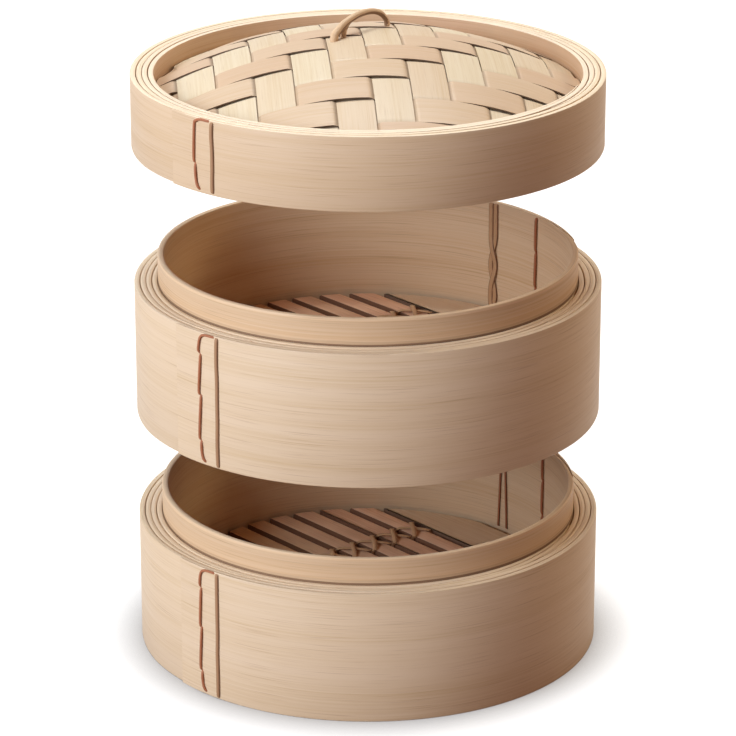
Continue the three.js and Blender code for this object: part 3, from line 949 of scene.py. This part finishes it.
@dataclass(frozen=True)
class WovenMat:
    """A domed mat of flat splints, each over two and under two. Millimetres."""

    radius: float
    depth: float  # how far its middle surface lies under the dome's face
    pitch: float = 15.7
    splint: float = 15.2
    thick: float = 0.6
    relief: float = 0.68  # how far a splint rises and falls
    dive: float = 2.2  # how far from another's edge it starts to dive
    arch: float = 0.45  # how far a crossing splint bows up between two dives
    camber: float = 0.12  # how far a splint's edges lie under its middle
    angle: float = 4.5  # degrees the weave is turned from the X axis
    lead: tuple[float, float] = (-2.2, 3.8)  # where the middle splints' edges lie, along and across
    edge_height: float = 22.9
    rise: float = 22.0
    dome_radius: float = 89.9
    dive_stain: float = 0.9  # painted shadow on a lengthwise splint where it dives
    dive_start: float = 2.0  # how far before the dive that shadow starts
    edge_stain: float = 0.5  # painted shadow on a crossing splint where it dives
    fading: float = 1.2  # over which these painted shadows fade
    side_stain: tuple[float, float] = (0.4, 0.8)  # painted shade on the cut sides, lengthwise and crossing
    margin: float = 1.5  # a splint whose middle is nearer the edge is left out
    steps: tuple[int, int] = (320, 4)  # facets along and across a splint

    def height(self, x: float, y: float) -> float:
        """Height of the mat's middle surface."""
        return self.edge_height + self.rise * (1 - (x * x + y * y) / self.dome_radius ** 2) - self.depth

    def phase(self, run: float, index: int, crossing: bool) -> float:
        """Where a splint is in its round of four: over from 0 to 2, under from 2 to 4."""
        return (run - index - 2) % 4 if crossing else (run - index + 1) % 4

    def wave(self, phase: float, crossing: bool) -> float:
        """How far a splint stands over the mat's middle surface.

        Args:
            phase: where it is in its round of four.
            crossing: True for splints that run across the lid.

        Returns:
            Its offset.
        """
        edge = (1 - abs(phase - 1)) * self.pitch if phase < 3 else (phase - 4) * self.pitch
        bow = math.sin(math.pi * phase / 2) * self.arch if crossing and phase < 2 else 0.0
        return (2 * smoothstep(0.5 + edge / self.dive / 2) - 1) * self.relief + bow

    def slit(self, phase: float, crossing: bool) -> float:
        """How much painted shadow a splint gets where it dives under another.

        Args:
            phase: where it is in its round of four.
            crossing: True for splints that run across the lid.

        Returns:
            The share of its painted shadow.
        """
        ahead = (2 - phase) * self.pitch
        if crossing:
            return self.edge_stain * smoothstep(self.fading - min(abs(ahead), phase * self.pitch))
        return self.dive_stain * smoothstep((self.dive_start - ahead) / self.fading) if ahead > -1 else 0.0

    def draw(self, seed: int) -> Draft:
        """Weaves the mat.

        Args:
            seed: picks the splints' tones.

        Returns:
            The mat on the lid's own base.
        """
        dice = random.Random(seed)
        draft = Draft()
        reach = math.ceil(self.radius / self.pitch) + 1
        for crossing in (False, True):
            for index in range(-reach, reach):
                middle = self.lead[crossing] + (index + 0.5) * self.pitch
                if abs(middle) < self.radius - self.margin:
                    tone = dice.choice(SPLINT_TONES) + (CROSSING_TONE if crossing else 0.0)
                    self.splint_into(draft, index, middle, crossing, tone, dice.uniform(0.0, WOOD))
        draft.move(Matrix.Rotation(math.radians(self.angle), 4, "Z"))
        return draft

    def splint_into(self, draft: Draft, index: int, middle: float, crossing: bool, tone: float,
                    shift: float) -> None:
        """Adds one splint to the mat.

        Args:
            draft: the mat in the making.
            index: the splint's number.
            middle: where its middle line lies across the mat.
            crossing: True where it runs across the lid.
            tone: how far it leans to its darkest colour.
            shift: metres that move its grain.
        """
        bm = draft.bm
        along, across = self.steps
        made = bmesh.ops.create_grid(bm, x_segments=along, y_segments=across, size=1)["verts"]
        slits: dict[BMVert, float] = {}
        for vert in made:
            side = max(-self.radius, min(self.radius, middle + vert.co.y * self.splint / 2))
            reach = math.sqrt(max(self.radius ** 2 - side ** 2, 0.0))
            run = max(-reach, min(reach, vert.co.x * self.radius))
            phase = self.phase((run - self.lead[not crossing]) / self.pitch, index, crossing)
            # Painted shadow where the splint dives under its neighbour.
            slits[vert] = self.slit(phase, crossing)
            x, y = (run, side) if crossing else (side, run)
            z = self.height(x, y) + self.wave(phase, crossing) - self.camber * vert.co.y ** 2
            vert[draft.along] = run * MM + shift
            vert[draft.across] = side * MM + shift
            vert.co = Vector((x, y, z)) * MM
        edges = list({edge for vert in made for edge in vert.link_edges})
        bmesh.ops.dissolve_degenerate(bm, dist=0.01 * MM, edges=edges)
        faces = {face for vert in made if vert.is_valid for face in vert.link_faces}
        bmesh.ops.recalc_face_normals(bm, faces=list(faces))
        for face in faces:
            face[draft.tone] = tone
            face[draft.stain] = sum(slits[vert] for vert in face.verts) / len(face.verts)
        rim = [edge for edge in bm.edges if edge.is_boundary]
        bmesh.ops.solidify(bm, geom=list(faces), thickness=self.thick * MM)
        # Painted shade on the splints' cut sides.
        for edge in rim:
            for face in edge.link_faces:
                if face not in faces:
                    face[draft.stain] = self.side_stain[crossing]


# Bends of the cane loop, and of the half that splits off it: shares of its span and of its rise.
LOOP_BEND = ((-0.44, 0.45), (-0.3, 0.75), (-0.06, 0.97), (0.16, 1.0), (0.34, 0.85), (0.45, 0.55))
SPLIT_BEND = ((-0.2, 0.84), (-0.27, 0.66), (-0.32, 0.35), (-0.34, -0.1875))


@dataclass
class Lid(Tier):
    """The lid: wall, hoop, two woven mats and a cane loop. Millimetres."""

    inner_fibre: Fibre = INNER_BAND_BAMBOO
    inner_tone: float = 0.64
    outer_tone: float = 0.48
    dives: tuple[float, ...] = (0.62,)
    hoop_top: float = 19.9
    loop_middle: tuple[float, float] = (-3.0, 10.0)
    loop_span: float = 36.0
    loop_rise: float = 8.0
    loop_angle: float = 52.0
    loop_foot: float = 1.6  # height at which a foot starts to bend
    loop_tail: float = 4.4  # how far a foot goes down through the mats
    loop_thinned: float = 0.32  # how much thinner the loop is past its middle
    loop_section: tuple[float, float] = (3.8, 3.3)  # height and width of the cane
    split_section: tuple[float, float] = (2.4, 2.6)  # the same of the half that splits off
    loop_sides: int = 14

    def build(self) -> None:
        """Builds and dresses the whole lid."""
        self.walls()
        hoop = Draft()
        hoop.hoop(self.hoop_inside, self.hoop_outside, self.recess, self.hoop_top)
        self.place(hoop, "carrier_hoop", HOOP_BAMBOO, "hoop", tone=0.2)
        top = WovenMat(radius=89.7, depth=0.35)
        lining = WovenMat(radius=89.6, depth=2.4, pitch=19.0, splint=18.4, thick=0.4, relief=0.3, angle=49.0)
        for seed, mat, name, node in ((self.seed, top, "woven_mat", "woven_top"),
                                      (self.seed + 1, lining, "lining_mat", "woven_lining")):
            self.place(mat.draw(seed), name, SPLINT_BAMBOO, node, tone=None)
        self.handle(top)
        self.lashings()

    def handle(self, mat: WovenMat) -> None:
        """Bends the cane loop and the half that splits off its left foot.

        Args:
            mat: the mat they stand in.
        """
        turned = math.radians(self.loop_angle)
        along = Vector((math.cos(turned), math.sin(turned), 0))
        aside = Vector((-math.sin(turned), math.cos(turned), 0))
        bend = [(share, lift * self.loop_rise) for share, lift in LOOP_BEND]
        loop = [(-0.5, -self.loop_tail), (-0.5, self.loop_foot), *bend,
                (0.5, self.loop_foot), (0.5, -self.loop_tail)]
        split = [(share, lift * self.loop_rise) for share, lift in SPLIT_BEND]
        draft = Draft()
        for route, (high, wide), thinned in ((loop, self.loop_section, self.loop_thinned),
                                             (split, self.split_section, 0.0)):
            points = []
            for share, lift in route:
                x, y = (self.loop_middle[i] + share * self.loop_span * along[i] for i in (0, 1))
                points.append(Vector((x, y, mat.height(x, y) + mat.depth + lift)) * MM)
            places = through(points, 6)
            left = [1 - thinned * smoothstep(2 * i / len(places) - 0.2) for i in range(len(places))]
            cane = [Station(place, aside, high * part, wide * part) for place, part in zip(places, left)]
            draft.sweep(cane, self.loop_sides)
        # Painted shade darkens the cane's underside.
        self.place(draft, "cane_loop", BENT_CANE, "handle", tone=0.1, stain=0.75, below=-0.1)


@dataclass(frozen=True)
class Lamp:
    """A round soft lamp: metres and watts."""

    name: str
    place: tuple[float, float, float]
    size: float
    power: float
    colour: str


LAMPS = (Lamp("key", (-1.35, -1.13, 0.85), 1.3, 45.0, "e5f1ff"),
         Lamp("top", (0.0, 0.4, 1.6), 0.8, 16.5, "eefaff"),
         Lamp("edge", (1.3, 0.9, 0.8), 0.6, 9.0, "ffe9bc"))


@dataclass
class Studio:
    """Pale floor, soft light from the front left, and the camera at the photograph's angle. Metres."""

    distance: float = 1.5
    height: float = 0.672
    pitch: float = 20.17  # degrees it looks down
    lens: float = 180.7  # mm, as is the sensor
    sensor: float = 36.0
    room: float = 6.0  # radius and height
    room_steps: tuple[int, int] = (96, 16)  # facets round the room and up its sweep
    aim: tuple[float, float, float] = (0.0, 0.0, 0.14)  # what the lamps point at
    fill: str = "ffbc95"
    fill_strength: float = 0.2
    paint: str = "8f8d8a"
    shadow_reach: float = 0.03  # how near the floor darkens
    shadow_range: tuple[float, float] = (0.3, 0.92)  # open shares of the sky
    glow: float = 0.94  # strength of its glow under open sky

    def build(self) -> None:
        """Sets the floor, the lights, the world and the camera."""
        self.floor()
        self.world()
        for lamp in LAMPS:
            self.hang(lamp)
        self.camera()
        bpy.context.scene.view_settings.view_transform = "Standard"

    def floor(self) -> None:
        """Lays a pale matt floor that sweeps up into a wall all round, far outside the lamps."""
        turn, sweep = self.room_steps
        bm = bmesh.new()
        bmesh.ops.create_circle(bm, cap_ends=True, radius=self.room, segments=turn)
        corner = list(bm.edges)
        grown = bmesh.ops.extrude_edge_only(bm, edges=corner)["geom"]
        raised = [item for item in grown if isinstance(item, BMVert)]
        bmesh.ops.translate(bm, vec=(0, 0, self.room), verts=raised)
        bmesh.ops.bevel(bm, geom=corner, offset=self.room / 3, segments=sweep, profile=0.5, affect="EDGES",
                        material=-1)
        mesh = bpy.data.meshes.new("studio_floor")
        bm.to_mesh(mesh)
        bm.free()
        mesh.shade_smooth()
        mesh.materials.append(self.matt_paint())
        floor = bpy.data.objects.new("studio_floor", mesh)
        floor.visible_diffuse = False
        bpy.context.scene.collection.objects.link(floor)

    def matt_paint(self) -> bpy.types.Material:
        """White paint that glows in the open; its glow fades where the object stands on it, a painted contact
        shadow.

        Returns:
            The material.
        """
        paint = bpy.data.materials.new("matt_studio_paint")
        paint.use_nodes = True
        tree = paint.node_tree
        tree.nodes.clear()
        low, high = self.shadow_range
        # Painted contact shadow: the glow fades where the object shuts out the sky nearby.
        open_sky = add_node(tree, "ShaderNodeAmbientOcclusion", {"Distance": self.shadow_reach}, samples=16)
        glow = add_node(tree, "ShaderNodeMapRange", {
            "Value": open_sky.outputs["AO"], "From Min": low, "From Max": high, "To Max": self.glow})
        skin = add_node(tree, "ShaderNodeBsdfPrincipled", {
            "Base Color": linear(self.paint), "Roughness": 0.9, "Emission Color": linear("ffffff"),
            "Emission Strength": glow.outputs[0]})
        add_node(tree, "ShaderNodeOutputMaterial", {"Surface": skin.outputs[0]})
        return paint

    def world(self) -> None:
        """Fills the room with weak warm light, as pale wood throws it back."""
        world = bpy.data.worlds.new("studio")
        world.use_nodes = True
        sky = world.node_tree.nodes["Background"]
        sky.inputs["Color"].default_value = linear(self.fill)
        sky.inputs["Strength"].default_value = self.fill_strength
        bpy.context.scene.world = world

    def hang(self, lamp: Lamp) -> None:
        """Hangs one lamp and points it at the object.

        Args:
            lamp: the lamp.
        """
        data = bpy.data.lights.new(lamp.name, "AREA")
        data.shape = "DISK"
        data.size = lamp.size
        data.energy = lamp.power
        data.color = linear(lamp.colour)[:3]
        hung = bpy.data.objects.new(lamp.name, data)
        hung.location = lamp.place
        hung.rotation_euler = (Vector(self.aim) - Vector(lamp.place)).to_track_quat("-Z", "Y").to_euler()
        bpy.context.scene.collection.objects.link(hung)

    def camera(self) -> None:
        """Stands the camera where the photograph was taken from."""
        data = bpy.data.cameras.new("camera")
        data.sensor_width = self.sensor
        data.lens = self.lens
        camera = bpy.data.objects.new("camera", data)
        camera.location = (0.0, -self.distance, self.height)
        camera.rotation_euler = (math.radians(90 - self.pitch), 0.0, 0.0)
        bpy.context.scene.collection.objects.link(camera)
        bpy.context.scene.camera = camera


def main() -> None:
    """Builds the studio and each tier."""
    logging.basicConfig(level=logging.INFO, format="%(message)s")
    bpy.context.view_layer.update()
    Studio().build()
    for tier in (Basket("lower", "lower_basket", 58.0, 228.0, 11),
                 Basket("upper", "upper_basket", 58.0, 229.0, 23, doubled=True, hoop_angle=50.0,
                        stitch_angle=32.0),
                 Lid("lid", "lid", 31.5, 228.5, 37)):
        tier.build()


if __name__ == "__main__":
    main()
